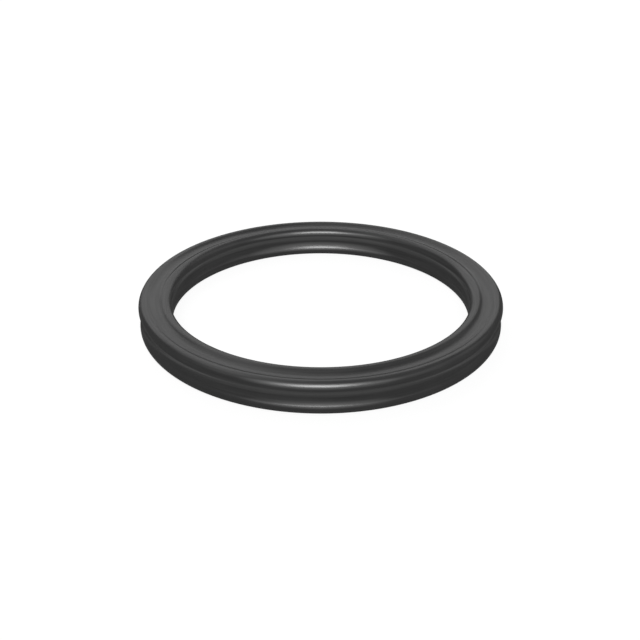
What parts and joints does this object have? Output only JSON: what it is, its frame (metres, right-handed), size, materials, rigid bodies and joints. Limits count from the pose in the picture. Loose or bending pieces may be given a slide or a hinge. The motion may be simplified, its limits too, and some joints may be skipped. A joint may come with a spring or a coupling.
{
  "type": "quad ring",
  "caption": "Round rubber seal ring with a square section whose corners are rounded sealing lobes and whose sides are shallow valleys, for sealing a rod, a piston or a face.",
  "frame": {"origin": "centre of the ring, halfway between its upper and lower lobes", "axes": "+Z along the ring's axis; the ring is the same all the way round and the same upside down"},
  "size_m": [0.0608, 0.0608, 0.0054],
  "materials": {
    "rubber": "black moulded rubber, satin"
  },
  "bodies": {
    "root": {"seal_ring": "rubber"}
  },
  "joints": []
}
